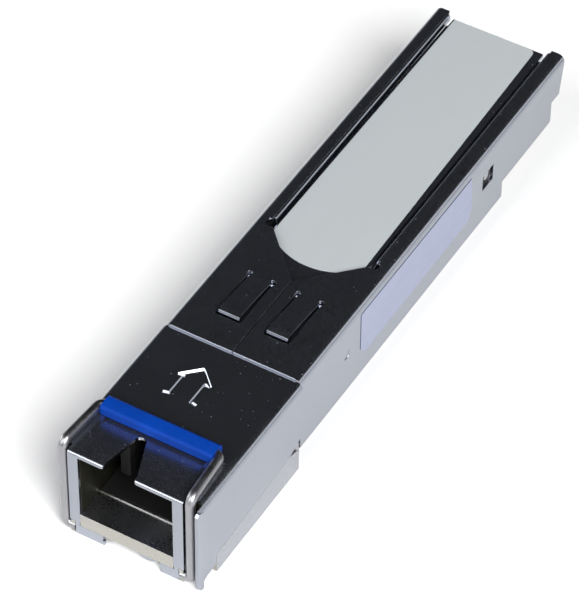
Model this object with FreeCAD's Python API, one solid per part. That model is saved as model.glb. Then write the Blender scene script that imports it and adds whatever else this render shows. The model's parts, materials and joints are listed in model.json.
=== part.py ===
import FreeCAD, Part
import math
import os

# Pluggable bidirectional optical transceiver with one square push-pull fibre port, a wire bail
# and a sheet metal shell. Lengths are millimetres, +Z is up and the port opens towards -Y.
# While it is built, y = 0 is the positive stop, where the wide head ends and the body that
# slides into the host's cage begins. save() moves that plane so that the origin is under the
# middle of the whole part, at the height of the head's underside.

# ---- driving dimensions ----
BODY_HALF_WIDTH = 6.75
BODY_BOTTOM = 1.9
BODY_TOP = 10.2
BODY_LENGTH = 47.6
SHEET = 0.3
SHEET_CORNER = 0.75
LABEL_THICKNESS = 0.07
HEAD_HALF_WIDTH = 7.0
HEAD_TOP = 10.0
FACE_Y = -16.5
SEAT_GAP = 0.03

RAIL_WIDTH = 1.4
RAIL_LIP_DEPTH = 0.75
LIP_BEND = 0.32
PLATE_TOP = BODY_TOP - 0.42
PLATE_THICKNESS = 0.4
PLATE_HALF_WIDTH = 4.72
V_POINT_Y = 9.8
V_SHOULDER_Y = 15.0
RELIEF_RADIUS = 0.5
SEAM_WIDTH = 0.08

FINGER_CENTRE_X = 2.4
FINGER_WIDTH = 2.1
FINGER_TIP_Y = 3.1
FINGER_ROOT_Y = 8.75
FINGER_LIFT = 0.4
SLIT_WIDTH = 0.22
SLIT_END_RADIUS = 0.3

BOTTOM_OPENING_Y = 36.1
SIDE_REAR_Y = 45.4
REAR_UNDERCUT = 1.85
RAIL_NOSE_DROP = 3.9
WINDOW_Y = (32.15, 34.1)
WINDOW_Z = (5.8, 7.6)
DIMPLE_Y = 7.75
DIMPLE_Z = 6.45
DIMPLE_RADIUS = 0.5
DIMPLE_DEPTH = 0.05

PORT_X = -0.35
PORT_HALF_WIDTH = 4.6
PORT_BOTTOM = 2.6
PORT_TOP = 9.6
PORT_BACK_Y = -4.6
FLOOR_STEP_Y = -13.35
KEY_SLOT_BACK = (-1.4, -12.4)
KEY_SLOT_END_RADIUS = 0.55
KEY_SLOT_FRONT_X = (-2.45, 0.55)

FIBRE_Z = 6.1
RECEIVER_Y = 2.6
OPTICS_REAR_Y = 5.9
FERRULE_BORE = 1.25
SLEEVE_RADIUS = 1.6
SLEEVE_FRONT_Y = -9.6
SLEEVE_END_Y = -4.95
STUB_RADIUS = 1.0
STUB_END_Y = -3.35
FIBRE_HOLE_RADIUS = 0.065
COLLAR_RADIUS = 2.35
BARREL_RADIUS = 1.97
FLANGE_Y = -4.5
FLANGE_END_Y = -2.4
FLANGE_RADIUS = 2.9
BEAM_RADIUS = 0.8
OPTICS_HALF_WIDTH = 3.2
OPTICS_BORE = 1.0
CAN_FLANGE = 0.6

BOARD_BOTTOM = BODY_BOTTOM + 2.25
BOARD_THICKNESS = 1.0
BOARD_END_Y = 44.3
BOARD_EDGE_HALF_WIDTH = 4.6
CONTACT_PITCH = 0.8
CONTACT_COUNT = 10

WIRE_RADIUS = 0.45
PIVOT_Y = -16.2
PIVOT_Z = 0.62
PIVOT_BORE_RADIUS = 0.5
PIN_END_X = 5.15
ROD_X = 6.2
ARM_REAR_X = 5.85
CROSSBAR_Y = -10.85
ARM_Z = HEAD_TOP + 0.06 + WIRE_RADIUS
NOTCH_X = 5.62
NOTCH_BACK_Y = -15.6

ARROW_X = -1.1
ARROW_TIP_Y = -2.85
ARROW_END_Y = -6.6
ARROW_HEAD = 1.45
ARROW_HALF_HEAD = 1.5
ARROW_HALF_SHAFT = 1.05
GROOVE_WIDTH = 0.3
GROOVE_DEPTH = 0.15

RIM_RADIUS = 0.28
PAD_SINK = 0.28
PAD_REAR_Y = (-11.9, -10.5)
PRESSED_HALF_WIDTH = 5.2

SLIDER_Z = (1.35, 1.85)
SLIDER_FRONT_Y = -13.7
PRONG_LENGTH = 5.4
SPRING_START_Y = -8.55
SPRING_END_Y = -3.05
SPRING_Z = 0.84

FLEX_THICKNESS = 0.15
LASER_FLEX_Y = 9.7
RECEIVER_FLEX_X = 5.35

LUG_X = (5.13, 5.55)
LUG_FRONT_Y = -16.5
LUG_REAR_Y = -15.0
CATCH_DROP = 0.65
CATCH_RADIUS = 0.45

BOSS_WIDTH = 2.6
BOSS_LENGTH = 2.6
BOSS_HEIGHT = 0.45
LATCH_SHOULDER_Y = 2.5

FRONT_Y = -16.95
MIDDLE_Y = (FRONT_Y + BODY_LENGTH) / 2
INNER_HALF_WIDTH = BODY_HALF_WIDTH - SHEET
BOARD_TOP = BOARD_BOTTOM + BOARD_THICKNESS


# ---- helpers ----
def vec(x, y, z):
    return FreeCAD.Vector(x, y, z)


def block(x0, x1, y0, y1, z0, z1):
    return Part.makeBox(x1 - x0, y1 - y0, z1 - z0, vec(x0, y0, z0))


def centred_block(half_width, y0, y1, z0, z1):
    return block(-half_width, half_width, y0, y1, z0, z1)


def cylinder(start, end, radius):
    axis = vec(*end) - vec(*start)
    return Part.makeCylinder(radius, axis.Length, vec(*start), axis)


def prism_x(outline, x0, x1):
    """Extrude a closed (y, z) outline from x0 to x1."""
    points = [vec(x0, y, z) for y, z in outline]
    face = Part.Face(Part.makePolygon(points + points[:1]))
    return face.extrude(vec(x1 - x0, 0, 0))


def prism_z(outline, z0, z1):
    """Extrude a closed (x, y) outline from z0 to z1."""
    points = [vec(x, y, z0) for x, y in outline]
    face = Part.Face(Part.makePolygon(points + points[:1]))
    return face.extrude(vec(0, 0, z1 - z0))


def arch(half_width, top, bottom, corner, y0, y1):
    """A solid with flat sides and top, rounded along both top edges."""
    turn = corner * (1 - math.sqrt(0.5))
    side = half_width - corner
    edges = [
        Part.makeLine(vec(half_width, y0, bottom), vec(half_width, y0, top - corner)),
        Part.Arc(vec(half_width, y0, top - corner), vec(half_width - turn, y0, top - turn),
                 vec(side, y0, top)).toShape(),
        Part.makeLine(vec(side, y0, top), vec(-side, y0, top)),
        Part.Arc(vec(-side, y0, top), vec(turn - half_width, y0, top - turn),
                 vec(-half_width, y0, top - corner)).toShape(),
        Part.makeLine(vec(-half_width, y0, top - corner), vec(-half_width, y0, bottom)),
        Part.makeLine(vec(-half_width, y0, bottom), vec(half_width, y0, bottom)),
    ]
    return Part.Face(Part.Wire(edges)).extrude(vec(0, y1 - y0, 0))


def folded_sheet(half_width, top, bottom, corner, y0, y1):
    """Sheet metal bent over the top and down both sides, open below."""
    inner = arch(half_width - SHEET, top - SHEET, bottom - 1, corner - SHEET, y0 - 1, y1 + 1)
    return arch(half_width, top, bottom, corner, y0, y1).cut(inner)


def wrapped_sheet(half_width, top, bottom, corner, y0, y1):
    """Sheet metal wrapped round all four sides."""
    inner = arch(half_width - SHEET, top - SHEET, bottom + SHEET, corner - SHEET, y0 - 1, y1 + 1)
    return arch(half_width, top, bottom, corner, y0, y1).cut(inner)


def both_sides(shape):
    return [shape, shape.mirror(vec(0, 0, 0), vec(1, 0, 0))]


def on_port_axis(shape):
    """Move a shape drawn round x = 0 sideways onto the axis of the port."""
    return shape.translated(vec(PORT_X, 0, 0))


def front_round(y, top, radius):
    """What to cut away so that a top front edge along X becomes round."""
    corner = centred_block(HEAD_HALF_WIDTH + 1, y - 1, y + radius, top - radius, top + 1)
    return corner.cut(cylinder((-9, y + radius, top - radius), (9, y + radius, top - radius), radius))


def bent_wire(points, bends, radius):
    """A round wire along straight runs joined by tangent arcs."""
    corners = [vec(*point) for point in points]
    edges = []
    start = corners[0]
    for before, corner, after, bend in zip(corners, corners[1:], corners[2:], bends):
        into = (corner - before).normalize()
        out = (after - corner).normalize()
        turn = into.getAngle(out)
        setback = bend * math.tan(turn / 2)
        first = corner - into * setback
        last = corner + out * setback
        inward = (out - into).normalize()
        middle = corner + inward * (bend / math.cos(turn / 2) - bend)
        edges.append(Part.makeLine(start, first))
        edges.append(Part.Arc(first, middle, last).toShape())
        start = last
    edges.append(Part.makeLine(start, corners[-1]))
    spine = Part.Wire(edges)
    profile = Part.Wire(Part.makeCircle(radius, corners[0], corners[1] - corners[0]))
    return spine.makePipeShell([profile], True, False)


def fuse_all(shapes):
    return shapes[0].multiFuse(shapes[1:]).removeSplitter()


def save(node, *shapes):
    solids = [solid for shape in shapes for solid in shape.Solids]
    whole = solids[0] if len(solids) == 1 else Part.makeCompound(solids)
    whole.translate(vec(0, -MIDDLE_Y, 0))
    whole.exportStep("parts/" + node + ".step")
    box = whole.BoundBox
    print("%-22s %3d solid  x %6.2f %6.2f  y %6.2f %6.2f  z %6.2f %6.2f  valid %s" % (
        node, len(solids), box.XMin, box.XMax, box.YMin, box.YMax, box.ZMin, box.ZMax,
        all(solid.isValid() for solid in solids)))


# ---- outer shell ----
def grounding_finger(centre):
    """A springy tongue cut out of the flap, rooted at the rear and raised at its free end."""
    under = BODY_TOP - SHEET
    crest = BODY_TOP + FINGER_LIFT
    tip = FINGER_TIP_Y + SLIT_WIDTH
    outline = [
        (FINGER_ROOT_Y, under), (FINGER_ROOT_Y, BODY_TOP), (tip + 1.2, crest), (tip + 0.35, crest),
        (tip + 0.1, crest - 0.1), (tip, crest - 0.35), (tip, BODY_TOP - SHEET / 2),
        (tip + 0.3, BODY_TOP - SHEET / 2), (tip + 0.5, under + FINGER_LIFT),
        (tip + 1.2, under + FINGER_LIFT),
    ]
    half = FINGER_WIDTH / 2
    return prism_x(outline, centre - half, centre + half)


def finger_slot(centre):
    """The clearance round a finger: two slits that end in round holes, and the free end."""
    half = FINGER_WIDTH / 2
    low, high = BODY_TOP - SHEET - 0.2, BODY_TOP + 0.2
    cuts = [block(centre - half - SLIT_WIDTH, centre + half + SLIT_WIDTH,
                  FINGER_TIP_Y, FINGER_ROOT_Y, low, high)]
    for side in (-1, 1):
        x = centre + side * (half + SLIT_WIDTH / 2)
        cuts.append(cylinder((x, FINGER_ROOT_Y, low), (x, FINGER_ROOT_Y, high), SLIT_END_RADIUS))
    return fuse_all(cuts)


def outer_shell():
    shell = wrapped_sheet(BODY_HALF_WIDTH, BODY_TOP, BODY_BOTTOM, SHEET_CORNER, 0, BODY_LENGTH)
    inner_x = BODY_HALF_WIDTH - RAIL_WIDTH
    label_opening = prism_z(
        [(0, V_POINT_Y), (inner_x, V_SHOULDER_Y + 0.3), (inner_x, BODY_LENGTH + 1),
         (-inner_x, BODY_LENGTH + 1), (-inner_x, V_SHOULDER_Y + 0.3)],
        BODY_TOP - 0.5, BODY_TOP + 1)
    cuts = [label_opening, centred_block(SEAM_WIDTH / 2, -1, V_POINT_Y + 0.2, 9, BODY_TOP + 1)]
    for relief in both_sides(cylinder((inner_x - 0.2, V_SHOULDER_Y + 0.1, 9),
                                      (inner_x - 0.2, V_SHOULDER_Y + 0.1, 11), RELIEF_RADIUS)):
        cuts.append(relief)
    for centre in (-FINGER_CENTRE_X, FINGER_CENTRE_X):
        cuts.append(finger_slot(centre))
    wide = BODY_HALF_WIDTH + 1
    cuts.append(centred_block(wide, WINDOW_Y[0], WINDOW_Y[1], *WINDOW_Z))
    # hole in the underside that the latch boss shows through
    cuts.append(centred_block(BOSS_WIDTH / 2 + 0.1, LATCH_SHOULDER_Y - 0.1,
                              LATCH_SHOULDER_Y + BOSS_LENGTH + 0.1, 1, 3))
    # the lower rear corner: the bottom opening, the connector step and the slanted rail nose
    cuts.append(prism_x(
        [(BOTTOM_OPENING_Y, 0), (BOTTOM_OPENING_Y, BODY_BOTTOM + REAR_UNDERCUT),
         (SIDE_REAR_Y - 0.2, BODY_BOTTOM + REAR_UNDERCUT),
         (SIDE_REAR_Y, BODY_BOTTOM + REAR_UNDERCUT + 0.2),
         (SIDE_REAR_Y, BODY_BOTTOM + 4.2), (BODY_LENGTH - 0.75, BODY_BOTTOM + 4.2),
         (BODY_LENGTH, BODY_BOTTOM + 4.2 + RAIL_NOSE_DROP), (BODY_LENGTH + 1, 9), (BODY_LENGTH + 1, 0)],
        -wide, wide))
    shell = shell.cut(fuse_all(cuts))
    # inner lips of the rails, bent down with a round edge
    lip_x, lip_start, lip_end = inner_x - SHEET, V_SHOULDER_Y + 0.8, BODY_LENGTH - 0.4
    lip = block(lip_x, inner_x + 0.1, lip_start, lip_end, BODY_TOP - RAIL_LIP_DEPTH, BODY_TOP)
    lip = lip.cut(block(inner_x, inner_x + 1, lip_start - 1, lip_end + 1, 9, BODY_TOP - SHEET))
    bend_x, bend_z = lip_x + LIP_BEND, BODY_TOP - LIP_BEND
    corner = block(lip_x - 1, bend_x, lip_start - 1, lip_end + 1, bend_z, BODY_TOP + 1)
    bend = cylinder((bend_x, lip_start - 2, bend_z), (bend_x, lip_end + 2, bend_z), LIP_BEND)
    corner = corner.cut(bend)
    additions = both_sides(lip.cut(corner))
    additions += [grounding_finger(centre) for centre in (-FINGER_CENTRE_X, FINGER_CENTRE_X)]
    shell = fuse_all([shell] + additions)
    shell = shell.cut(front_round(0, BODY_TOP, 0.05))
    bottom_x = BODY_HALF_WIDTH - DIMPLE_DEPTH
    for dimple in both_sides(cylinder((bottom_x, DIMPLE_Y, DIMPLE_Z), (wide, DIMPLE_Y, DIMPLE_Z),
                                      DIMPLE_RADIUS)):
        shell = shell.cut(dimple)
    return shell


# ---- top plate under the flaps and between the rails ----
def top_plate():
    low = PLATE_TOP - PLATE_THICKNESS
    plate = centred_block(PLATE_HALF_WIDTH, 0.6, BODY_LENGTH - 0.4, low, PLATE_TOP)
    ledge_half = BODY_HALF_WIDTH - RAIL_WIDTH - SHEET - SEAT_GAP
    ledge = centred_block(ledge_half, 0.6, BODY_LENGTH - 1.2, low, low + 0.12)
    return fuse_all([plate, ledge])


# ---- cast base ----
def corner_notches():
    """The two front corners of the head, cut back so that the bail's rods fit into them."""
    left = block(-HEAD_HALF_WIDTH - 1, PORT_X - NOTCH_X, FRONT_Y - 1, NOTCH_BACK_Y, -1, HEAD_TOP + 1)
    right = block(PORT_X + NOTCH_X, HEAD_HALF_WIDTH - SHEET, FRONT_Y - 1, NOTCH_BACK_Y, -1, HEAD_TOP + 1)
    return [left, right]


def base_housing():
    outer = INNER_HALF_WIDTH - SEAT_GAP
    wall = outer - 0.8
    floor_z = BODY_BOTTOM + SHEET + SEAT_GAP
    floor = centred_block(outer, SEAT_GAP, BOTTOM_OPENING_Y - 0.1, floor_z, floor_z + 0.8)
    pieces = [floor]
    for side_wall in both_sides(block(wall, outer, SEAT_GAP, BOTTOM_OPENING_Y - 0.1, floor_z, 9.2)):
        pieces.append(side_wall)
    for rear_wall in both_sides(block(wall, outer, BOTTOM_OPENING_Y - 1, SIDE_REAR_Y - 0.1,
                                      BODY_BOTTOM + REAR_UNDERCUT, 9.2)):
        pieces.append(rear_wall)
    # head casting: port floor, side strips that stay visible, and the stop face at y = 0
    pieces.append(centred_block(HEAD_HALF_WIDTH - SHEET - SEAT_GAP, FACE_Y + SHEET + SEAT_GAP, -0.02,
                                1.2, PORT_BOTTOM))
    strip = [(-0.62, 0), (-0.62, 2.3), (-1.0, 2.62), (-2.1, 2.9), (-14.1, 2.2), (-14.1, 0.12),
             (-13.9, 0)]
    for side_strip in both_sides(prism_x(strip, HEAD_HALF_WIDTH - 1.0, HEAD_HALF_WIDTH)):
        pieces.append(side_strip)
    for rail in both_sides(block(3.2, HEAD_HALF_WIDTH - 0.9, -14.1, -0.62, 0.35, 1.3)):
        pieces.append(rail)
    sill = centred_block(PORT_HALF_WIDTH, FACE_Y - 0.02, FACE_Y + 1.0, 1.15, PORT_BOTTOM)
    pieces.append(on_port_axis(sill))
    step = centred_block(PORT_HALF_WIDTH - SEAT_GAP, FLOOR_STEP_Y - 0.12, FLOOR_STEP_Y + 0.05, 2.5,
                         PORT_BOTTOM + 0.12)
    # neck that joins the head casting to the floor of the body
    pieces.append(centred_block(outer, -0.7, 0.4, floor_z, floor_z + 0.8))
    # bulkhead between the port and the electronics, and the cradle of the optical assembly
    bulkhead = centred_block(HEAD_HALF_WIDTH - SHEET - SEAT_GAP, -2.2, -0.2, PORT_BOTTOM - 0.1, 9.4)
    pieces.append(bulkhead)
    # lugs beside the feet with the bores that the bail's pins turn in
    for lug in both_sides(block(LUG_X[0], LUG_X[1], LUG_FRONT_Y, LUG_REAR_Y, 0, 1.45)):
        pieces.append(on_port_axis(lug))
    boss_rear = LATCH_SHOULDER_Y + BOSS_LENGTH
    boss_low = BODY_BOTTOM - BOSS_HEIGHT
    pieces.append(prism_x([(LATCH_SHOULDER_Y, floor_z + 0.1), (LATCH_SHOULDER_Y, boss_low),
                           (LATCH_SHOULDER_Y + 0.5, boss_low), (boss_rear, BODY_BOTTOM),
                           (boss_rear, floor_z + 0.1)], -BOSS_WIDTH / 2, BOSS_WIDTH / 2))
    base = fuse_all(pieces)
    cuts = corner_notches() + [
        cylinder((-9, PIVOT_Y, PIVOT_Z), (9, PIVOT_Y, PIVOT_Z), PIVOT_BORE_RADIUS),
        # slot that the release slider runs in
        centred_block(3.1, -15.4, 0.5, 0, BODY_BOTTOM),
        # passage for the optical assembly
        on_port_axis(centred_block(3.7, -3, 1, 3.03, 9.3)),
        # seat of the port frame
        centred_block(HEAD_HALF_WIDTH - SHEET - 0.3, FACE_Y, PORT_BACK_Y + SEAT_GAP, PORT_BOTTOM, 12),
        # side windows
        centred_block(BODY_HALF_WIDTH, WINDOW_Y[0] + 0.05, WINDOW_Y[1] - 0.05, WINDOW_Z[0] + 0.05,
                      WINDOW_Z[1] - 0.05),
    ]
    base = base.cut(fuse_all(cuts)).fuse(on_port_axis(step))
    # rounded catches that hang into the windows
    middle_y = sum(WINDOW_Y) / 2 - 0.1
    low = WINDOW_Z[1] - CATCH_DROP
    front, rear = middle_y - CATCH_RADIUS, middle_y + CATCH_RADIUS
    catch = fuse_all([
        block(wall, outer, front, rear, low, WINDOW_Z[1] + 0.2),
        block(wall, BODY_HALF_WIDTH - 0.15, front, rear, low, WINDOW_Z[1] - 0.05),
        cylinder((wall, middle_y, low), (BODY_HALF_WIDTH - 0.15, middle_y, low), CATCH_RADIUS)])
    return fuse_all([base] + both_sides(catch))


# ---- head ----
def insertion_arrow():
    """Grooves round the outline of an arrow that points towards the rear, with two short feet."""
    barb_y = ARROW_TIP_Y - ARROW_HEAD
    inner, outer = ARROW_X - ARROW_HALF_SHAFT, ARROW_X - ARROW_HALF_HEAD
    half = [(inner - 0.5, ARROW_END_Y - 0.1), (inner, ARROW_END_Y), (inner, barb_y), (outer, barb_y),
            (ARROW_X, ARROW_TIP_Y)]
    grooves = []
    for (x0, y0), (x1, y1) in zip(half, half[1:]):
        grooves.append(groove(x0, y0, x1, y1))
        grooves.append(groove(2 * ARROW_X - x0, y0, 2 * ARROW_X - x1, y1))
    return fuse_all(grooves)


def groove(x0, y0, x1, y1):
    """A shallow straight cut with sloping sides in the head's top."""
    half = GROOVE_WIDTH / 2
    outline = [(-half, HEAD_TOP), (0, HEAD_TOP - GROOVE_DEPTH), (half, HEAD_TOP), (half, HEAD_TOP + 1),
               (-half, HEAD_TOP + 1)]
    bar = prism_x(outline, -half / 2, math.hypot(x1 - x0, y1 - y0) + half / 2)
    bar.rotate(vec(0, 0, 0), vec(0, 0, 1), math.degrees(math.atan2(y1 - y0, x1 - x0)))
    bar.translate(vec(x0, y0, 0))
    return bar


def key_slot(low, high):
    """The slot in the head's top that narrows towards a round rear end."""
    x, y = KEY_SLOT_BACK
    radius = KEY_SLOT_END_RADIUS
    left, right = KEY_SLOT_FRONT_X
    mouth = 0.25
    taper = prism_z([(left - mouth, FACE_Y - 1), (right + mouth, FACE_Y - 1), (right + mouth, FACE_Y),
                     (right + 0.07, FACE_Y + 0.08), (right, FACE_Y + mouth), (right, FACE_Y + 0.6),
                     (x + radius, y), (x - radius, y), (left, FACE_Y + 0.6), (left, FACE_Y + mouth),
                     (left - 0.07, FACE_Y + 0.08), (left - mouth, FACE_Y)], low, high)
    return taper.fuse(cylinder((x, y, low), (x, y, high), radius))


def foot(inner, outer):
    """A strap that runs down beside the port and ends in a broad foot."""
    strap = block(PORT_HALF_WIDTH + 0.05, outer, FACE_Y, FACE_Y + SHEET, 0, 1.6)
    sole = block(inner, outer, FACE_Y, FACE_Y + SHEET, 0, 1.12)
    return strap.fuse(sole)


def pressed_pads(gap):
    """What the pressed area under the grip takes up below the flat sheet, grown by a gap."""
    sunk_y, end_y = PAD_REAR_Y
    low = HEAD_TOP - SHEET - PAD_SINK - gap
    start = FACE_Y + SHEET
    top, rear = HEAD_TOP - 0.1, end_y + gap
    outline = [(start, top), (start, PORT_TOP + 0.02 - gap), (sunk_y, low), (rear, low), (rear, top)]
    return prism_x(outline, -PRESSED_HALF_WIDTH - gap, PRESSED_HALF_WIDTH + gap)


def pad_hollow():
    """The hollow that sinks towards the grip between the two arms of the bail."""
    sunk_y, end_y = PAD_REAR_Y
    start, rear, low = FACE_Y + RIM_RADIUS, end_y - 0.1, HEAD_TOP - PAD_SINK
    outline = [(start, HEAD_TOP), (sunk_y, low), (rear - 0.2, low), (rear, HEAD_TOP),
               (rear, HEAD_TOP + 1), (start, HEAD_TOP + 1)]
    half = PRESSED_HALF_WIDTH - SHEET
    return prism_x(outline, -half, half)


def head_cover():
    cover = folded_sheet(HEAD_HALF_WIDTH, HEAD_TOP, 0, SHEET_CORNER, FACE_Y, -SEAT_GAP)
    flanges = [on_port_axis(flange) for flange in both_sides(
        block(PORT_HALF_WIDTH, NOTCH_X, FACE_Y, FACE_Y + SHEET, 1.5, HEAD_TOP - 0.1))]
    right_foot = on_port_axis(foot(3.3, 5.1))
    left_foot = foot(2.25, 5.1).mirror(vec(0, 0, 0), vec(1, 0, 0))
    notch = prism_z([(-2.25, FACE_Y - 1), (-2.5, FACE_Y - 1), (-2.25, FACE_Y + 1)], 0.5, 2)
    left_foot = on_port_axis(left_foot.cut(notch))
    rim = centred_block(PORT_HALF_WIDTH + 0.1, FACE_Y, FACE_Y + SHEET, PORT_TOP + 0.02, HEAD_TOP - 0.1)
    # the line along which each side plate ends, above the casting's side strip
    wide = HEAD_HALF_WIDTH + 1
    lower = prism_x(
        [(0.5, -1), (0.5, 3.65), (-0.35, 3.65), (-1.0, 3.42), (-2.1, 2.93), (-14.12, 2.23), (-14.2, 1.2),
         (-14.7, 1.05), (-15.7, 1.05), (-16.1, 0.9), (-16.19, -1)], -wide, wide)
    cuts = corner_notches() + [lower, key_slot(8, 12), insertion_arrow(), on_port_axis(pad_hollow())]
    cover = fuse_all([cover, on_port_axis(rim), on_port_axis(pressed_pads(0))] + flanges)
    cover = cover.cut(fuse_all(cuts))
    cover = cover.cut(front_round(FACE_Y, HEAD_TOP, RIM_RADIUS))
    # the right side plate reaches past the face and guards the rod there
    ear = prism_x([(NOTCH_BACK_Y, 1.05), (FACE_Y + 0.3, 0.8), (FACE_Y, 0.42), (FRONT_Y + 0.2, 0.3),
                   (FRONT_Y, 0.6), (FRONT_Y, 9.5), (FRONT_Y + 0.25, 9.75), (NOTCH_BACK_Y, 9.25)],
                  HEAD_HALF_WIDTH - SHEET, HEAD_HALF_WIDTH)
    return fuse_all([cover, ear, right_foot, left_foot])


# ---- port frame: the cast tube that the connector plugs into ----
def port_frame():
    outer_x = HEAD_HALF_WIDTH - SHEET - 0.35
    front = FACE_Y + SHEET + SEAT_GAP
    top = HEAD_TOP - SHEET - SEAT_GAP
    tube = centred_block(outer_x, front, PORT_BACK_Y, PORT_BOTTOM + SEAT_GAP, top)
    hollow = centred_block(PORT_HALF_WIDTH, front - 1, PORT_BACK_Y + 1, PORT_BOTTOM - 1, PORT_TOP)
    pads = on_port_axis(pressed_pads(SEAT_GAP))
    return tube.cut(fuse_all([on_port_axis(hollow), key_slot(9, 11), pads] + corner_notches()))


# ---- optics ----
def along_port(start_y, end_y, radius):
    return cylinder((0, start_y, FIBRE_Z), (0, end_y, FIBRE_Z), radius)


def receptacle_insert():
    """Plastic frame at the back of the port with the two latch hooks and the sleeve's collar."""
    half = PORT_HALF_WIDTH - SEAT_GAP
    bottom = PORT_BOTTOM + SEAT_GAP
    floor = centred_block(half, FLOOR_STEP_Y + 0.1, -5.0, bottom, bottom + 0.1)
    back = centred_block(half, -6.2, -5.0, bottom, PORT_TOP - SEAT_GAP)
    pieces = [floor, back]
    for side in (-1, 1):
        inner, outer = sorted((side * 2.75, side * 3.35))
        pieces.append(block(inner, outer, -11.6, -6.0, 4.3, 7.9))
        hook = [(-12.0, 4.3), (-12.0, 7.9), (-11.2, 7.9), (-11.2, 4.3)]
        tip0, tip1 = sorted((side * 2.35, side * 3.35))
        pieces.append(prism_x(hook, tip0, tip1))
    pieces.append(along_port(SLEEVE_FRONT_Y, -5.5, COLLAR_RADIUS))
    return fuse_all(pieces).cut(along_port(-14, -4, BARREL_RADIUS + SEAT_GAP))


def sleeve_housing():
    """Metal barrel round the ceramic sleeve, with the flange that is welded to the optics."""
    housing = along_port(SLEEVE_FRONT_Y - 0.3, FLANGE_Y, BARREL_RADIUS).fuse(
        along_port(FLANGE_Y, FLANGE_END_Y, FLANGE_RADIUS))
    return housing.cut(fuse_all([
        along_port(-10, SLEEVE_END_Y + 0.02, SLEEVE_RADIUS + 0.01),
        along_port(-6, STUB_END_Y + 0.02, STUB_RADIUS + 0.01),
        along_port(-4, -2, BEAM_RADIUS)]))


def split_sleeve():
    sleeve = along_port(SLEEVE_FRONT_Y, SLEEVE_END_Y, SLEEVE_RADIUS)
    sleeve = sleeve.cut(along_port(-10, -3, FERRULE_BORE))
    slit = block(-0.2, 0.2, -10, -3, FIBRE_Z, FIBRE_Z + 3)
    return sleeve.cut(slit)


def fibre_stub():
    stub = along_port(SLEEVE_END_Y + 0.05, STUB_END_Y, STUB_RADIUS)
    return stub.cut(along_port(-6, -3, FIBRE_HOLE_RADIUS))


def optics_body():
    """Machined block that holds both optical cans and the wavelength filter."""
    body = centred_block(OPTICS_HALF_WIDTH, -1.9, OPTICS_REAR_Y, FIBRE_Z - 2.95, FIBRE_Z + 2.95)
    chamber = 1.5
    bores = [
        along_port(-3, 7, OPTICS_BORE),
        cylinder((0, RECEIVER_Y, FIBRE_Z), (4, RECEIVER_Y, FIBRE_Z), OPTICS_BORE),
        centred_block(chamber, RECEIVER_Y - chamber, RECEIVER_Y + chamber, FIBRE_Z - chamber,
                      FIBRE_Z + chamber),
    ]
    return body.cut(fuse_all(bores))


def weld_ring():
    ring = along_port(FLANGE_END_Y + 0.02, -1.92, FLANGE_RADIUS)
    return ring.cut(along_port(-3, -1, OPTICS_BORE))


def wavelength_filter():
    """Thin glass plate at 45 degrees that sends one wavelength to the receiver."""
    plate = Part.makeBox(2.2, 0.15, 2.0, vec(-1.1, -0.075, -1.0))
    plate.rotate(vec(0, 0, 0), vec(0, 0, 1), 45)
    plate.translate(vec(0, RECEIVER_Y, FIBRE_Z))
    return plate


def optical_can(start, direction, radius, length, flange_radius):
    base = vec(*start)
    axis = vec(*direction)
    flange = Part.makeCylinder(flange_radius, CAN_FLANGE, base, axis)
    cap = Part.makeCylinder(radius, length, base + axis * CAN_FLANGE, axis)
    return flange.fuse(cap)


def can_leads(start, direction, spread, length):
    base = vec(*start)
    axis = vec(*direction)
    across = vec(0, 0, 1).cross(axis)
    leads = []
    for sx, sz in ((-1, -1), (-1, 1), (1, -1), (1, 1)):
        foot = base + across * (sx * spread) + vec(0, 0, sz * spread)
        leads.append(Part.makeCylinder(0.2, length, foot, axis))
    return leads


def optics_clip():
    """Spring sheet saddle that presses the optics down onto the casting."""
    saddle = centred_block(3.55, 1.1, 5.4, 3.06, 9.34)
    inside = centred_block(3.25, 1.0, 5.5, 2, 9.1)
    receiver_window = cylinder((3, RECEIVER_Y, FIBRE_Z), (5, RECEIVER_Y, FIBRE_Z), 2.4)
    return saddle.cut(inside).cut(receiver_window)


# ---- electronics ----
def main_board():
    outline = [(-5.3, 12.2), (5.3, 12.2), (5.3, 34.0), (BOARD_EDGE_HALF_WIDTH, 34.7),
               (BOARD_EDGE_HALF_WIDTH, BOARD_END_Y), (-BOARD_EDGE_HALF_WIDTH, BOARD_END_Y),
               (-BOARD_EDGE_HALF_WIDTH, 34.7), (-5.3, 34.0)]
    return prism_z(outline, BOARD_BOTTOM, BOARD_TOP)


def edge_contacts(z0):
    contacts = []
    for index in range(CONTACT_COUNT):
        x = (index - (CONTACT_COUNT - 1) / 2) * CONTACT_PITCH
        contacts.append(block(x - 0.27, x + 0.27, BOARD_END_Y - 3.4, BOARD_END_Y - 0.3, z0, z0 + 0.04))
    return contacts


def chip(x, y, width, length, height):
    return block(x - width / 2, x + width / 2, y - length / 2, y + length / 2,
                 BOARD_TOP + 0.02, BOARD_TOP + 0.02 + height)


def small_parts():
    """Rows of chip capacitors and resistors along both sides of the board."""
    parts = []
    for side in (-1, 1):
        for index in range(9):
            y = 15.6 + 2.0 * index
            parts.append(chip(side * 4.55, y, 0.5, 1.0, 0.45))
    for index in range(4):
        parts.append(chip(-2.4 + 1.6 * index, 37.6, 0.5, 1.0, 0.45))
    return parts


def power_coils():
    return [chip(2.6 * index, 32.9, 1.6, 1.6, 1.0) for index in (-1, 0, 1)]


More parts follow.
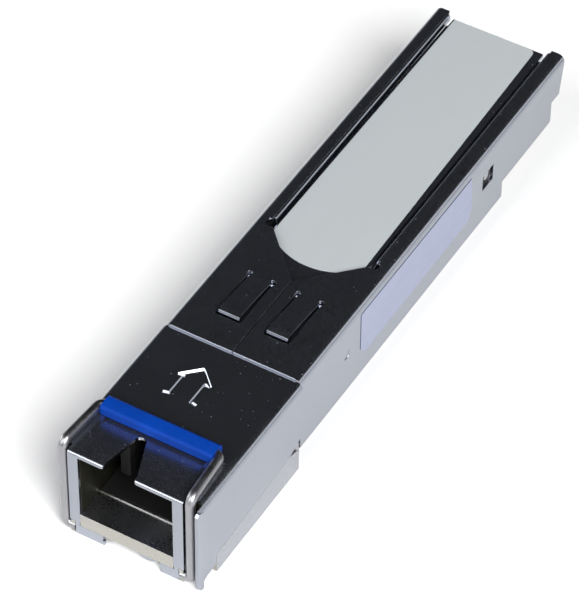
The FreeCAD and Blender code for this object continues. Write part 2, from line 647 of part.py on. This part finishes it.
def laser_flex():
    """Flexible circuit from the laser's leads down onto the front edge of the board."""
    t = FLEX_THICKNESS
    low = BOARD_TOP + 0.02
    outline = [(LASER_FLEX_Y, 7.8), (LASER_FLEX_Y, low + 0.4), (LASER_FLEX_Y + 0.4, low), (13.6, low),
               (13.6, low + t), (LASER_FLEX_Y + 0.46, low + t), (LASER_FLEX_Y + t, low + 0.46),
               (LASER_FLEX_Y + t, 7.8)]
    return prism_x(outline, -1.7, 1.7)


def receiver_flex():
    """Flexible circuit that runs along the side wall from the receiver to the board."""
    t = FLEX_THICKNESS
    low = BOARD_TOP + 0.02
    upright = block(RECEIVER_FLEX_X, RECEIVER_FLEX_X + t, RECEIVER_Y - 1.6, 13.8, low, 7.6)
    foot = block(4.0, RECEIVER_FLEX_X + t, 12.6, 13.8, low, low + t)
    return fuse_all([upright, foot])


def thermal_pad():
    """Soft pad that carries heat from under the laser driver into the cast floor."""
    return centred_block(3.0, 14.5, 20.5, BODY_BOTTOM + SHEET + SEAT_GAP + 0.82, BOARD_BOTTOM - 0.02)


# ---- latch release and bail ----
def release_slider():
    """Flat slide under the port: two wedge prongs, a web and a tongue that shows below the sill."""
    bottom, top = SLIDER_Z
    plate = centred_block(3.0, SLIDER_FRONT_Y, 0, bottom, top)
    prongs = []
    for inner in (-2.95, 1.65):
        wedge = [(0, bottom), (0, top), (PRONG_LENGTH, top), (PRONG_LENGTH, top - 0.1),
                 (PRONG_LENGTH - 0.4, bottom)]
        prongs.append(prism_x(wedge, inner, inner + 1.3))
    web = block(0.2, 3.0, SLIDER_FRONT_Y, SLIDER_FRONT_Y + 0.6, 0.45, bottom + 0.05)
    tongue = block(0.3, 2.7, -15.8, SLIDER_FRONT_Y + 0.6, 0.5, 0.98)
    tab = cylinder((1.5, -16.3, 1.75), (1.5, -15.7, 1.75), 1.3).common(block(0, 4, -17, -15, 0, 1.02))
    spring_tab = centred_block(0.8, SPRING_END_Y + 0.05, SPRING_END_Y + 0.55, 0.42, bottom + 0.05)
    return fuse_all([plate, web, tongue, tab, spring_tab] + prongs)


def bottom_cover():
    """Thin plate that closes the slider's channel and carries the spring's stop."""
    plate = centred_block(5.8, -13.0, -0.7, 0.04, 0.32)
    stop = centred_block(0.8, SPRING_START_Y - 0.45, SPRING_START_Y - 0.05, 0.3, 1.25)
    return fuse_all([plate, stop])


def slider_spring():
    coil = cylinder((0, SPRING_START_Y, SPRING_Z), (0, SPRING_END_Y, SPRING_Z), 0.4)
    return coil.cut(cylinder((0, -9, SPRING_Z), (0, -3, SPRING_Z), 0.24))


def bail_wire():
    points = [
        (-PIN_END_X, PIVOT_Y, PIVOT_Z), (-ROD_X, PIVOT_Y, PIVOT_Z), (-ROD_X, PIVOT_Y, ARM_Z),
        (-ARM_REAR_X, CROSSBAR_Y, ARM_Z), (ARM_REAR_X, CROSSBAR_Y, ARM_Z),
        (ROD_X, PIVOT_Y, ARM_Z), (ROD_X, PIVOT_Y, PIVOT_Z), (PIN_END_X, PIVOT_Y, PIVOT_Z),
    ]
    return bent_wire(points, [0.5, 0.7, 0.65, 0.65, 0.7, 0.5], WIRE_RADIUS)


def bail_sleeve():
    """Coloured grip moulded round the bail's cross bar."""
    half, front, back = 5.45, CROSSBAR_Y - 0.8, CROSSBAR_Y + 0.85
    bottom, top = HEAD_TOP + 0.05, ARM_Z + WIRE_RADIUS + 0.1
    outline = [(front, bottom), (front, top - 0.3), (front + 0.15, top - 0.05), (front + 0.4, top),
               (back - 0.35, top), (back, top - 0.3), (back, bottom)]
    return prism_x(outline, -half, half).cut(bail_wire())


# ---- labels ----
def top_label():
    """Blank label on the recessed plate, with an arched front edge and one round corner."""
    z0 = PLATE_TOP
    rear_left, rear_right = vec(-4.55, 47.1, z0), vec(3.4, 47.1, z0)
    corner_middle, side_rear = vec(3.75, 46.95, z0), vec(3.9, 46.6, z0)
    front_right, front_left = vec(4.45, 14.4, z0), vec(-4.7, 14.4, z0)
    edges = [
        Part.makeLine(rear_left, rear_right),
        Part.Arc(rear_right, corner_middle, side_rear).toShape(),
        Part.makeLine(side_rear, front_right),
        Part.Arc(front_right, vec(-0.1, 12.4, z0), front_left).toShape(),
        Part.makeLine(front_left, rear_left),
    ]
    return Part.Face(Part.Wire(edges)).extrude(vec(0, 0, LABEL_THICKNESS))


def side_label():
    """Blank label on the right side of the shell, cut off at three corners."""
    front, rear, low, high = 10.2, 30.1, 4.1, 9.25
    outline = [(front, high), (front, low + 0.8), (front + 0.8, low), (rear - 0.6, low + 0.2),
               (rear, low + 1.6), (rear - 0.2, high)]
    return prism_x(outline, BODY_HALF_WIDTH, BODY_HALF_WIDTH + LABEL_THICKNESS)


def main():
    os.makedirs("parts", exist_ok=True)
    save("outer_shell", outer_shell())
    save("top_plate", top_plate())
    save("base_housing", base_housing())
    save("bottom_cover", bottom_cover())
    save("head_cover", head_cover())
    save("port_frame", port_frame())
    save("top_label", top_label())
    save("side_label", side_label())

    save("receptacle_insert", on_port_axis(receptacle_insert()))
    save("sleeve_housing", on_port_axis(sleeve_housing()))
    save("split_sleeve", on_port_axis(split_sleeve()))
    save("fibre_stub", on_port_axis(fibre_stub()))
    save("weld_ring", on_port_axis(weld_ring()))
    save("optics_body", on_port_axis(optics_body()))
    save("wavelength_filter", on_port_axis(wavelength_filter()))
    laser_y = OPTICS_REAR_Y + 0.02
    laser_length, receiver_length = 1.9, 1.1
    save("laser_can", optical_can((PORT_X, laser_y, FIBRE_Z), (0, 1, 0), 2.35, laser_length, 2.8))
    leads_y = laser_y + CAN_FLANGE + laser_length + 0.02
    save("laser_leads", *can_leads((PORT_X, leads_y, FIBRE_Z), (0, 1, 0), 0.9,
                                   LASER_FLEX_Y - 0.02 - leads_y))
    receiver_x = PORT_X + OPTICS_HALF_WIDTH + 0.02
    save("receiver_can", optical_can((receiver_x, RECEIVER_Y, FIBRE_Z), (1, 0, 0), 1.9,
                                     receiver_length, 2.3))
    leads_x = receiver_x + CAN_FLANGE + receiver_length + 0.02
    save("receiver_leads", *can_leads((leads_x, RECEIVER_Y, FIBRE_Z), (1, 0, 0), 0.8,
                                      RECEIVER_FLEX_X - 0.02 - leads_x))
    save("optics_clip", on_port_axis(optics_clip()))

    save("main_board", main_board())
    save("edge_contacts_top", *edge_contacts(BOARD_TOP))
    save("edge_contacts_bottom", *edge_contacts(BOARD_BOTTOM - 0.04))
    save("laser_flex", laser_flex())
    save("receiver_flex", receiver_flex())
    save("laser_driver_chip", chip(0, 17.5, 4.0, 4.0, 0.9))
    save("receiver_amp_chip", chip(1.2, 22.8, 3.0, 3.0, 0.85))
    save("memory_chip", chip(-2.3, 22.8, 2.0, 3.0, 0.7))
    save("controller_chip", chip(0, 28.2, 5.0, 5.0, 0.9))
    save("crystal", chip(-2.0, 24.95, 2.0, 0.9, 0.6))
    save("power_coils", *power_coils())
    save("small_parts", *small_parts())
    save("thermal_pad", thermal_pad())

    save("release_slider", release_slider())
    save("slider_spring", slider_spring())
    save("bail_wire", on_port_axis(bail_wire()))
    save("bail_sleeve", on_port_axis(bail_sleeve()))


main()
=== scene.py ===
import json
import math

import bpy
from mathutils import Matrix, Vector


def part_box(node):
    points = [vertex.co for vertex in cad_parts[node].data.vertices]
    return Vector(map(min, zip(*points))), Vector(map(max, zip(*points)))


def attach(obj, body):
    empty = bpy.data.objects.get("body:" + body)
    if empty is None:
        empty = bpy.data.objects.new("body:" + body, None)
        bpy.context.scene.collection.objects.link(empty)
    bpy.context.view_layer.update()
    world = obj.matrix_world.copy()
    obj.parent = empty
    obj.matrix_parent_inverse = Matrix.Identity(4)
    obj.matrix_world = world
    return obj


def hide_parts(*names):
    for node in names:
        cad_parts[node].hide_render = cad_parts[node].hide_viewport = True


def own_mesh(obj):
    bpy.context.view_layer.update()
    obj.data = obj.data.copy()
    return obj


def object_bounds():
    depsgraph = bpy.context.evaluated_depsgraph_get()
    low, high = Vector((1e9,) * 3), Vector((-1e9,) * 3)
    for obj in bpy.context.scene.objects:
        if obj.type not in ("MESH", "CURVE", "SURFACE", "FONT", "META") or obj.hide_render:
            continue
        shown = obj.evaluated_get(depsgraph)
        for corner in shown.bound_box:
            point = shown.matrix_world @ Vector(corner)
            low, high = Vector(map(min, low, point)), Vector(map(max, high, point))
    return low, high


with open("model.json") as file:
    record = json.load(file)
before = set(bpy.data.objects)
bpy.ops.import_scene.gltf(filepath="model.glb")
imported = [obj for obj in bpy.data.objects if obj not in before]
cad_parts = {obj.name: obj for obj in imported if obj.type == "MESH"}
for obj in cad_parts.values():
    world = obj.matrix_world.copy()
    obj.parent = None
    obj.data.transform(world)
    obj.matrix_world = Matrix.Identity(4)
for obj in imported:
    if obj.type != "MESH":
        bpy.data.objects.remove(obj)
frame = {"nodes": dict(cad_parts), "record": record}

cad_low, cad_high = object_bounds()
MM = 0.001
nodes = frame["nodes"]

# ---- surface numbers; noise scales are in cycles per metre ----
CLOUD_SCALE = 260.0
METAL_TINT_DEPTH = 0.07
METAL_GLOSS_SPREAD = (0.8, 1.25)
HANDLED_Y = (-25.4 * MM, -26.4 * MM)
# facing range that picks the faces given the painted warmer tone
FRONT_FACING = (-0.5, -0.9)
TOP_FACING = (0.3, 0.9)
HAZE_SCALE = 14000.0
HAZE_MOST = 0.14
SPECK_SCALE = 2200.0
SPECK_SIZE = 0.14
SPECK_POWER = 4.0
SPECK_STRENGTH = 0.8
# colour of the top-face dusting: a real dusting pattern with a painted navy reflection tint
DUST_AND_PAINTED_NAVY = (0.07, 0.085, 0.17)
GRIT_ROUGHNESS = 0.6
GRAIN_DEPTH = 0.01 * MM
PLASTIC_CLOUD_SCALE = 300.0
SPARK_SCALE = 1800.0
PLASTIC_GLOSS_SPREAD = (0.85, 1.15)
FIBRE_SCALE = 900.0
FIBRE_STRETCH = (1.0, 0.25, 1.0)
FIBRE_TINT_DEPTH = 0.04
FIBRE_DEPTH = 0.004 * MM
PAPER_ROUGHNESS = (0.38, 0.52)
NOISE_MIDDLE = (0.3, 0.7)


# ---- node helpers ----
class Graph:
    """A material's node tree, built a node at a time."""

    def __init__(self, name):
        self.material = bpy.data.materials.new(name)
        self.material.use_nodes = True
        self.tree = self.material.node_tree
        self.shader = self.tree.nodes["Principled BSDF"]
        self.position = self.node("ShaderNodeTexCoord").outputs["Object"]

    def node(self, kind, **values):
        made = self.tree.nodes.new(kind)
        for key, value in values.items():
            setattr(made, key, value)
        return made

    def link(self, output, target):
        self.tree.links.new(output, target)

    def set(self, **values):
        for key, value in values.items():
            self.shader.inputs[key.replace("_", " ")].default_value = value

    def scaled(self, factors):
        mapping = self.node("ShaderNodeMapping")
        mapping.inputs["Scale"].default_value = factors
        self.link(self.position, mapping.inputs["Vector"])
        return mapping.outputs["Vector"]

    def noise(self, scale, detail=3.0, vector=None, roughness=0.5):
        made = self.node("ShaderNodeTexNoise")
        made.inputs["Scale"].default_value = scale
        made.inputs["Detail"].default_value = detail
        made.inputs["Roughness"].default_value = roughness
        self.link(vector or self.position, made.inputs["Vector"])
        return made.outputs["Fac"]

    def specks(self, scale, size, vector=None):
        """White dots of a random size, one in each cell of a random lattice."""
        made = self.node("ShaderNodeTexVoronoi")
        made.inputs["Scale"].default_value = scale
        self.link(vector or self.position, made.inputs["Vector"])
        chosen = self.node("ShaderNodeSeparateColor")
        self.link(made.outputs["Color"], chosen.inputs["Color"])
        limit = self.maths("MULTIPLY", self.maths("POWER", chosen.outputs["Red"], SPECK_POWER), size)
        return self.maths("LESS_THAN", made.outputs["Distance"], limit)

    def ramp(self, value, low, high, start=0.0, end=1.0):
        made = self.node("ShaderNodeMapRange")
        made.inputs["From Min"].default_value = low
        made.inputs["From Max"].default_value = high
        made.inputs["To Min"].default_value = start
        made.inputs["To Max"].default_value = end
        self.link(value, made.inputs["Value"])
        return made.outputs["Result"]

    def maths(self, operation, first, second=0.0):
        made = self.node("ShaderNodeMath", operation=operation)
        for slot, value in zip(made.inputs, (first, second)):
            if isinstance(value, (int, float)):
                slot.default_value = value
            else:
                self.link(value, slot)
        return made.outputs["Value"]

    def mix(self, factor, first, second):
        made = self.node("ShaderNodeMix", data_type="RGBA")
        self.link(factor, made.inputs["Factor"])
        for slot, value in ((made.inputs[6], first), (made.inputs[7], second)):
            if isinstance(value, tuple):
                slot.default_value = (*value, 1.0)
            else:
                self.link(value, slot)
        return made.outputs[2]

    def bump(self, height, distance, strength=1.0):
        made = self.node("ShaderNodeBump")
        made.inputs["Distance"].default_value = distance
        made.inputs["Strength"].default_value = strength
        self.link(height, made.inputs["Height"])
        self.link(made.outputs["Normal"], self.shader.inputs["Normal"])

    def facing(self, axis, low, high):
        """0 to 1 as the surface turns to face along a frame axis."""
        geometry = self.node("ShaderNodeNewGeometry")
        parts = self.node("ShaderNodeSeparateXYZ")
        self.link(geometry.outputs["True Normal"], parts.inputs["Vector"])
        return self.ramp(parts.outputs[axis], low, high)


def metal(name, colour, rough, dust_and_painted_tint=0.0, grain=0.0, grain_scale=2500.0, stretch=(1.0, 1.0, 1.0),
          front_painted_tone=None, worn=0.0):
    """Plated metal: slow tint and gloss changes, fine surface grain, a dusting on upward faces tinted navy
    as a painted reflection, and, when given, a painted warmer tone on forward-facing faces.
    """
    graph = Graph(name)
    cloud = graph.noise(CLOUD_SCALE, 4.0)
    fine = graph.noise(grain_scale, 3.0, graph.scaled(stretch))
    darker = tuple(c * (1 - METAL_TINT_DEPTH) for c in colour)
    base = graph.mix(cloud, darker, colour)
    glossy, dull = (rough * share for share in METAL_GLOSS_SPREAD)
    roughness = graph.ramp(graph.maths("ADD", cloud, fine), 0.7, 1.3, glossy, dull)
    if worn:
        place = graph.node("ShaderNodeSeparateXYZ")
        graph.link(graph.position, place.inputs["Vector"])
        handled = graph.ramp(place.outputs["Y"], *HANDLED_Y, 0.0, worn)
        roughness = graph.maths("ADD", roughness, handled)
    # painted light: forward-facing faces take a warmer tone than the rest of the part, set only by which
    # way the face looks
    if front_painted_tone:
        base = graph.mix(graph.facing("Y", *FRONT_FACING), base, front_painted_tone)
    # upward faces get a dusting whose navy colour is partly a painted reflection on the tops
    if dust_and_painted_tint:
        haze = graph.ramp(graph.noise(HAZE_SCALE, 1.0), *NOISE_MIDDLE, 0.0, HAZE_MOST)
        specks = graph.maths("MULTIPLY", graph.specks(SPECK_SCALE, SPECK_SIZE), SPECK_STRENGTH)
        dust_and_tint = graph.maths("MAXIMUM", specks, haze)
        dust_and_tint = graph.maths("MULTIPLY", dust_and_tint, graph.facing("Z", *TOP_FACING))
        dust_and_tint = graph.maths("MULTIPLY", dust_and_tint, dust_and_painted_tint)
        base = graph.mix(dust_and_tint, base, DUST_AND_PAINTED_NAVY)
        roughness = graph.maths("ADD", roughness, graph.maths("MULTIPLY", dust_and_tint, GRIT_ROUGHNESS))
        graph.link(graph.maths("SUBTRACT", 1.0, dust_and_tint), graph.shader.inputs["Metallic"])
    else:
        graph.set(Metallic=1.0)
    graph.link(base, graph.shader.inputs["Base Color"])
    graph.link(roughness, graph.shader.inputs["Roughness"])
    graph.bump(fine, GRAIN_DEPTH, grain)
    return graph.material


def moulded(name, colour, rough, texture=0.3, mottle=0.15, gloss=0.5):
    """Moulded plastic or ceramic with a faint spark texture."""
    graph = Graph(name)
    graph.set(Specular_IOR_Level=gloss)
    cloud = graph.noise(PLASTIC_CLOUD_SCALE, 3.0)
    fine = graph.noise(SPARK_SCALE, 2.0)
    darker = tuple(c * (1 - mottle) for c in colour)
    graph.link(graph.mix(cloud, darker, colour), graph.shader.inputs["Base Color"])
    glossy, dull = (rough * share for share in PLASTIC_GLOSS_SPREAD)
    graph.link(graph.ramp(fine, *NOISE_MIDDLE, glossy, dull), graph.shader.inputs["Roughness"])
    graph.bump(fine, GRAIN_DEPTH, texture)
    return graph.material


def paper(name, colour):
    """Satin label stock with faint fibres."""
    graph = Graph(name)
    fibres = graph.noise(FIBRE_SCALE, 5.0, graph.scaled(FIBRE_STRETCH), 0.65)
    darker = tuple(c * (1 - FIBRE_TINT_DEPTH) for c in colour)
    graph.link(graph.mix(fibres, darker, colour), graph.shader.inputs["Base Color"])
    graph.link(graph.ramp(fibres, *NOISE_MIDDLE, *PAPER_ROUGHNESS), graph.shader.inputs["Roughness"])
    graph.bump(fibres, FIBRE_DEPTH, 0.4)
    return graph.material


materials = {
    # nickel_sheet: top faces carry a dusting tinted navy, partly a painted reflection
    "nickel_sheet": metal("nickel_sheet", (0.34, 0.36, 0.405), 0.17, dust_and_painted_tint=0.5, grain=0.03, worn=0.05),
    # cast_nickel: its forward-facing faces carry a painted warmer tone
    "cast_nickel": metal("cast_nickel", (0.40, 0.41, 0.44), 0.3, grain=0.5, grain_scale=5000.0,
                         front_painted_tone=(0.40, 0.39, 0.355)),
    # port_liner is painted shade: the port's inner frame metal is coloured near black to stand in for the
    # shade inside the port
    "port_liner": metal("port_liner", (0.07, 0.068, 0.05), 0.45, grain=0.5, grain_scale=5000.0),
    "wire_steel": metal("wire_steel", (0.34, 0.34, 0.355), 0.36, grain=0.3, stretch=(1.0, 1.0, 0.1)),
    "blue_plastic": moulded("blue_plastic", (0.0, 0.042, 0.32), 0.55, texture=0.6, mottle=0.35, gloss=0.15),
    "top_label_paper": paper("top_label_paper", (0.40, 0.43, 0.44)),
    "side_label_paper": paper("side_label_paper", (0.26, 0.285, 0.39)),
    "receptacle_plastic": moulded("receptacle_plastic", (0.008, 0.008, 0.008), 0.6, gloss=0.2),
    "ceramic_white": moulded("ceramic_white", (0.85, 0.84, 0.80), 0.25, texture=0.05, mottle=0.04),
    "optics_steel": metal("optics_steel", (0.55, 0.54, 0.52), 0.28, grain=0.4, stretch=(1.0, 0.1, 1.0)),
    "gold_plate": metal("gold_plate", (0.85, 0.62, 0.25), 0.2, grain=0.15),
    "filter_glass": moulded("filter_glass", (0.55, 0.65, 0.75), 0.05, texture=0.0, mottle=0.05),
    "board_green": moulded("board_green", (0.02, 0.14, 0.06), 0.3, mottle=0.35),
    "flex_amber": moulded("flex_amber", (0.45, 0.22, 0.04), 0.35, mottle=0.25),
    "chip_black": moulded("chip_black", (0.02, 0.02, 0.02), 0.55),
    "ceramic_parts": moulded("ceramic_parts", (0.40, 0.30, 0.22), 0.5, mottle=0.3),
    "pad_grey": moulded("pad_grey", (0.30, 0.32, 0.34), 0.8),
}

slots = {part["node"]: part["material_slot"] for part in frame["record"]["subparts"]}
for name, node in nodes.items():
    node.data.materials.clear()
    node.data.materials.append(materials[slots[name]])


# ---- softened edges on the CAD nodes ----
WELD_DISTANCE = 0.002 * MM
FLAT_ANGLE = math.radians(0.5)
SHARP_ANGLE = math.radians(25.0)
EDGE_SEGMENTS = 2
EDGE = 0.05 * MM
WIDE_EDGES = {"head_cover": 0.1 * MM, "outer_shell": 0.08 * MM}


def soften(name, width):
    """Joins the node's split faces again and rounds its sharp edges."""
    node = nodes[name]
    normals = node.data.attributes.get("custom_normal")
    if normals:
        node.data.attributes.remove(normals)
    for polygon in node.data.polygons:
        polygon.use_smooth = True
    weld = node.modifiers.new("weld", "WELD")
    weld.merge_threshold = WELD_DISTANCE
    flat = node.modifiers.new("flat", "DECIMATE")
    flat.decimate_type = "DISSOLVE"
    flat.angle_limit = FLAT_ANGLE
    bevel = node.modifiers.new("bevel", "BEVEL")
    bevel.width = width
    bevel.segments = EDGE_SEGMENTS
    bevel.limit_method = "ANGLE"
    bevel.angle_limit = SHARP_ANGLE
    bevel.harden_normals = True


for name in nodes:
    soften(name, WIDE_EDGES.get(name, EDGE))


# ---- the slide's return spring, a wound wire ----
SPRING_WIRE = 0.055 * MM
SPRING_MARGIN = 1.2 * SPRING_WIRE
SPRING_TURNS = 15
STEPS_PER_TURN = 20
WIRE_SIDES = 8


def wound_spring(low, high):
    """A helix of round wire along Y inside the box, with the ends closed."""
    centre_x = (low.x + high.x) / 2
    centre_z = (low.z + high.z) / 2
    coil = (high.x - low.x) / 2 - SPRING_MARGIN
    length = high.y - low.y - 2 * SPRING_MARGIN
    along = Vector((0, 1, 0))
    steps = SPRING_TURNS * STEPS_PER_TURN
    points = []
    for step in range(steps + 1):
        turn = 2 * math.pi * step / STEPS_PER_TURN
        out = Vector((math.cos(turn), 0, math.sin(turn)))
        axis_y = low.y + SPRING_MARGIN + length * step / steps
        middle = Vector((centre_x, axis_y, centre_z)) + out * coil
        for side in range(WIRE_SIDES):
            angle = 2 * math.pi * side / WIRE_SIDES
            points.append(middle + (out * math.cos(angle) + along * math.sin(angle)) * SPRING_WIRE)
    faces = [tuple(reversed(range(WIRE_SIDES)))]
    for step in range(steps):
        for side in range(WIRE_SIDES):
            first = step * WIRE_SIDES + side
            second = step * WIRE_SIDES + (side + 1) % WIRE_SIDES
            faces.append((first, second, second + WIRE_SIDES, first + WIRE_SIDES))
    faces.append(tuple(range(steps * WIRE_SIDES, (steps + 1) * WIRE_SIDES)))
    mesh = bpy.data.meshes.new("return_spring")
    mesh.from_pydata(points, [], faces)
    for polygon in mesh.polygons:
        polygon.use_smooth = len(polygon.vertices) == 4
    mesh.materials.append(materials[slots["slider_spring"]])
    spring = bpy.data.objects.new("return_spring", mesh)
    bpy.context.scene.collection.objects.link(spring)
    return spring


spring_low, spring_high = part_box("slider_spring")
return_spring = wound_spring(spring_low, spring_high)
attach(return_spring, "root")
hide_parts("slider_spring")
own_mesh(return_spring)


# ---- floor, light and camera ----
FLOOR_HALF = 2.0
FLOOR_GAP = 0.01 * MM
LIGHTS = (
    # name, direction, distance, diameter in metres, power in watts
    ("key", (-0.35, -0.72, 0.60), 0.9, 0.7, 5.0),
    ("side", (0.58, -0.44, 0.66), 0.9, 0.6, 13.0),
    ("left", (-0.97, -0.05, 0.2), 1.0, 0.5, 3.0),
    ("right", (0.75, 0.6, 0.28), 1.2, 0.5, 0.8),
)
# the room's brightness against the height of the direction looked in
ROOM = ((0.0, (0.15, 0.16, 0.18, 1)), (0.2, (0.03, 0.032, 0.04, 1)), (0.75, (0.004, 0.004, 0.007, 1)))
CAMERA_AZIMUTH = math.radians(30.27)
CAMERA_ELEVATION = math.radians(45.713)
CAMERA_ROLL = math.radians(0.562)
CAMERA_PLACE = (115.417 * MM, -203.565 * MM, 242.846 * MM)
CAMERA_LENS = 227.52
SENSOR_WIDTH = 36.0
CLIP_NEAR = 0.01
CLIP_FAR = 20.0


def floor_sheet():
    mesh = bpy.data.meshes.new("floor")
    half = FLOOR_HALF
    corners = [(-half, -half, 0), (half, -half, 0), (half, half, 0), (-half, half, 0)]
    mesh.from_pydata(corners, [], [(0, 1, 2, 3)])
    floor = bpy.data.objects.new("floor", mesh)
    floor.location.z = cad_low.z - FLOOR_GAP
    bpy.context.scene.collection.objects.link(floor)
    graph = Graph("floor_white")
    tone = graph.noise(8.0, 2.0)
    graph.link(graph.mix(tone, (0.88, 0.88, 0.88), (0.9, 0.9, 0.9)), graph.shader.inputs["Base Color"])
    graph.set(Roughness=0.9)
    mesh.materials.append(graph.material)


def soft_light(name, direction, distance, size, power):
    data = bpy.data.lights.new(name, "AREA")
    data.shape = "DISK"
    data.size = size
    data.energy = power
    light = bpy.data.objects.new(name, data)
    way = Vector(direction).normalized()
    light.location = way * distance
    light.rotation_euler = way.to_track_quat("Z", "Y").to_euler()
    bpy.context.scene.collection.objects.link(light)


def studio_world():
    """A dark room overhead that lightens towards the horizon."""
    world = bpy.data.worlds.new("studio")
    world.use_nodes = True
    tree = world.node_tree
    bpy.context.scene.world = world
    direction = tree.nodes.new("ShaderNodeTexCoord")
    parts = tree.nodes.new("ShaderNodeSeparateXYZ")
    tree.links.new(direction.outputs["Generated"], parts.inputs["Vector"])
    ramp = tree.nodes.new("ShaderNodeValToRGB")
    stops = ramp.color_ramp.elements
    stops.new(ROOM[1][0])
    for stop, (height, brightness) in zip(stops, ROOM):
        stop.position = height
        stop.color = brightness
    tree.links.new(parts.outputs["Z"], ramp.inputs["Fac"])
    tree.links.new(ramp.outputs["Color"], tree.nodes["Background"].inputs["Color"])


floor_sheet()
studio_world()
for light in LIGHTS:
    soft_light(*light)

scene = bpy.context.scene
scene.view_settings.view_transform = "Standard"


def make_camera():
    data = bpy.data.cameras.new("camera")
    data.lens = CAMERA_LENS
    data.sensor_width = SENSOR_WIDTH
    data.clip_start = CLIP_NEAR
    data.clip_end = CLIP_FAR
    camera = bpy.data.objects.new("camera", data)
    level = math.cos(CAMERA_ELEVATION)
    back = Vector((math.sin(CAMERA_AZIMUTH) * level, -math.cos(CAMERA_AZIMUTH) * level,
                   math.sin(CAMERA_ELEVATION)))
    right = Vector((math.cos(CAMERA_AZIMUTH), math.sin(CAMERA_AZIMUTH), 0))
    up = back.cross(right)
    side = math.cos(CAMERA_ROLL) * right + math.sin(CAMERA_ROLL) * up
    top = -math.sin(CAMERA_ROLL) * right + math.cos(CAMERA_ROLL) * up
    matrix = Matrix((side, top, back)).transposed().to_4x4()
    matrix.translation = CAMERA_PLACE
    camera.matrix_world = matrix
    scene.collection.objects.link(camera)
    scene.camera = camera


make_camera()
